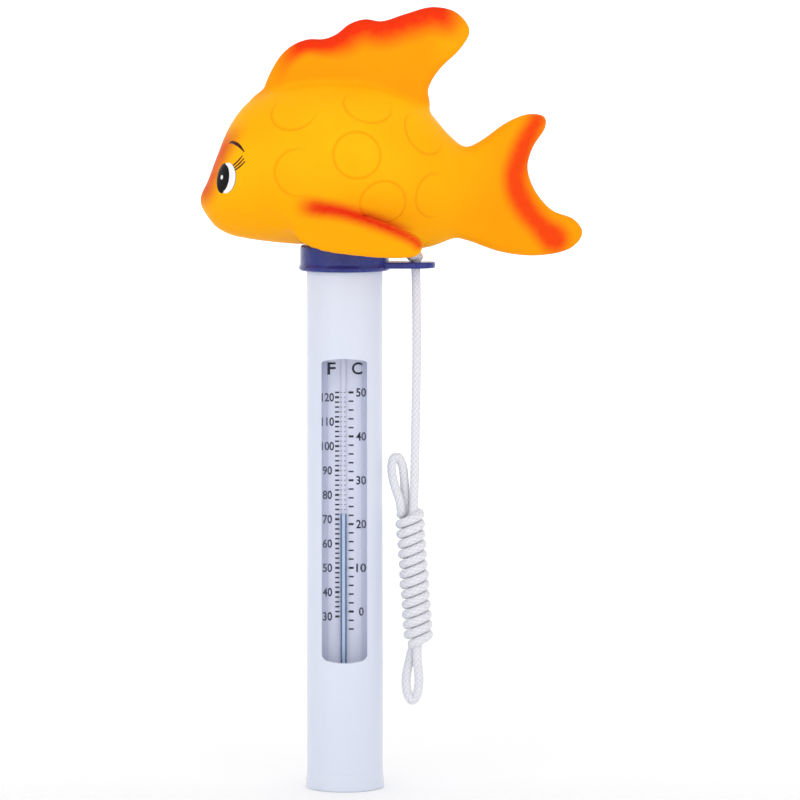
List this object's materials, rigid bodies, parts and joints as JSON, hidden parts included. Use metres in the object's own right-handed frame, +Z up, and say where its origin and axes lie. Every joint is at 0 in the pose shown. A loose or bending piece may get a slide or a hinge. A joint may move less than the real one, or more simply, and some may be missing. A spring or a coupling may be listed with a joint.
{
  "type": "floating pool thermometer",
  "caption": "Goldfish-shaped float on a blue collar with a windowed white tube, a glass thermometer inside it and a wound tether cord.",
  "frame": {"origin": "centre of the flat underside of the bottom cap, on the tube's axis", "axes": "+Z up the tube towards the fish; -X is the fish's nose, +X its tail and the tether lug; the window faces -Y"},
  "size_m": [0.1209, 0.0592, 0.2468],
  "materials": {
    "fish_vinyl": "satin moulded vinyl with sprayed red fin edges",
    "collar_blue": "glossy moulded plastic",
    "tube_white": "satin gloss extruded plastic",
    "cap_white": "satin moulded plastic",
    "clear_glass": "clear",
    "capillary_glass": "clear",
    "scale_paper": "smooth printed card",
    "blue_spirit": "dyed spirit, modelled as a solid",
    "seat_rubber": "matt black rubber",
    "pad_foam": "white closed-cell foam",
    "stopper_rubber": "pale rubber",
    "tie_steel": "plain",
    "ballast_steel": "zinc plated",
    "plug_vinyl": "pale moulded vinyl",
    "cord_white": "braided polyester"
  },
  "bodies": {
    "case": {"outer_tube": "tube_white", "bottom_cap": "cap_white", "ballast_weight": "ballast_steel", "lower_cushion": "seat_rubber", "glass_envelope": "clear_glass", "envelope_stopper": "stopper_rubber", "upper_cushion": "pad_foam", "scale_card": "scale_paper", "capillary_tube": "capillary_glass", "bulb_spirit": "blue_spirit", "capillary_tie_lower": "tie_steel", "capillary_tie_upper": "tie_steel", "tether_collar": "collar_blue", "cord_knot": "cord_white", "tether_cord": "cord_white", "cord_hank": "cord_white"},
    "float": {"fish_float": "fish_vinyl", "float_plug": "plug_vinyl"},
    "spirit": {"spirit_column": "blue_spirit"}
  },
  "joints": [
    {"name": "float_swivel", "type": "hinge", "parent": "case", "child": "float", "pos_m": [0, 0, 0.1722], "axis": [0, 0, 1], "range_deg": [-60, 60]},
    {"name": "spirit_rise", "type": "slide", "parent": "case", "child": "spirit", "axis": [0, 0, 1], "range_m": [-0.0382, 0.03847], "deforming": ["spirit_column"]}
  ]
}
